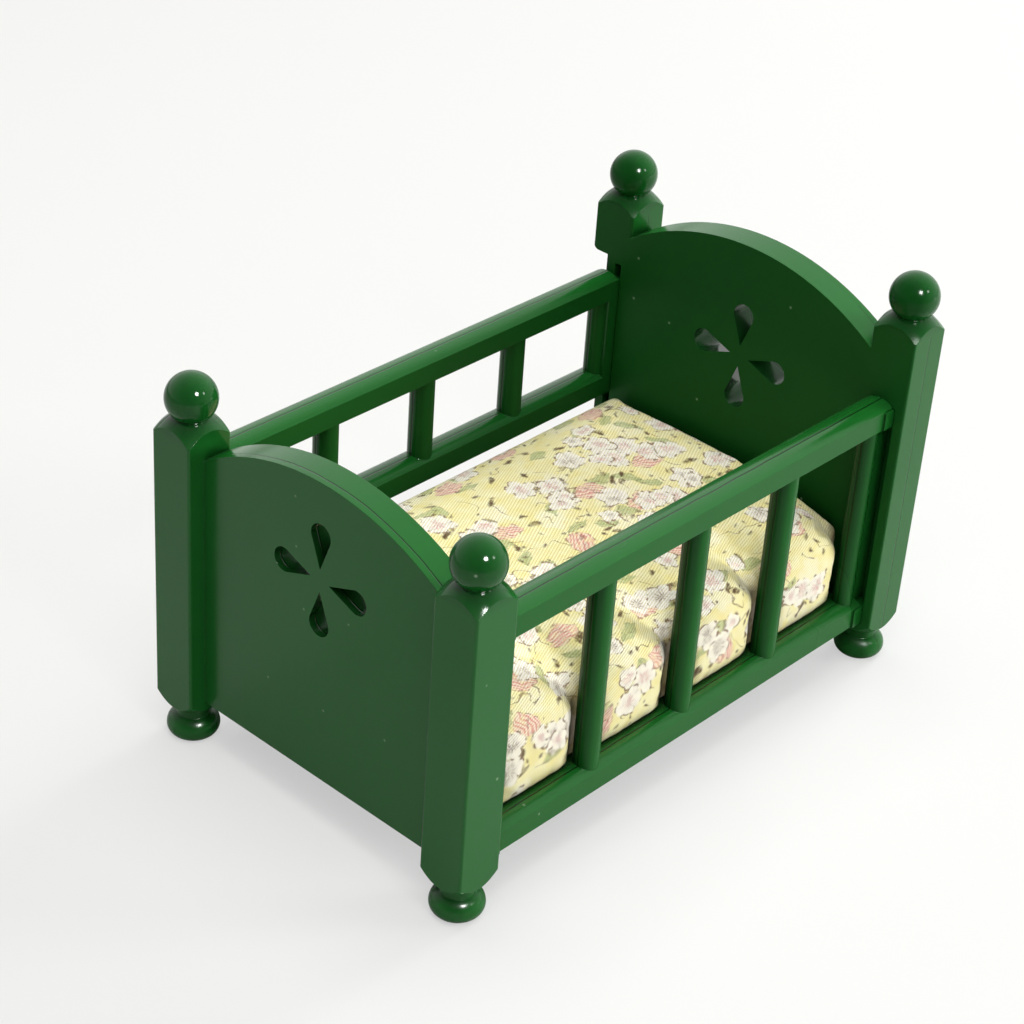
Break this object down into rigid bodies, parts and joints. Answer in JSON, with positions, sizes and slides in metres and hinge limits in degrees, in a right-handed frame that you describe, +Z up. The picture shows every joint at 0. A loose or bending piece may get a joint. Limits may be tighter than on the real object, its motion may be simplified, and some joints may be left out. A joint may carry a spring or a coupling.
{
  "type": "miniature drop-side crib",
  "caption": "Miniature crib with arched ends, petal cut-outs, ball finials and bun feet, a fixed railing, a sliding railing and a stuffed mattress.",
  "frame": {"origin": "on the ground under the middle of the bed", "axes": "+X along the bed towards the head end, +Y towards the sliding side, +Z up"},
  "size_m": [0.0844, 0.053, 0.0568],
  "materials": {
    "moulded_plastic": "gloss moulded",
    "base_plastic": "satin moulded",
    "stuffing": "soft wadding",
    "printed_cotton": "printed twill"
  },
  "bodies": {
    "frame": {"head_end": "moulded_plastic", "foot_end": "moulded_plastic", "fixed_side": "moulded_plastic", "bed_base": "base_plastic", "mattress_foam": "stuffing", "mattress_cover": "printed_cotton"},
    "drop_side": {"drop_side": "moulded_plastic"}
  },
  "joints": [
    {"name": "drop_side_slide", "type": "slide", "parent": "frame", "child": "drop_side", "axis": [0, 0, 1], "range_m": [-0.0146, 0.002]}
  ]
}
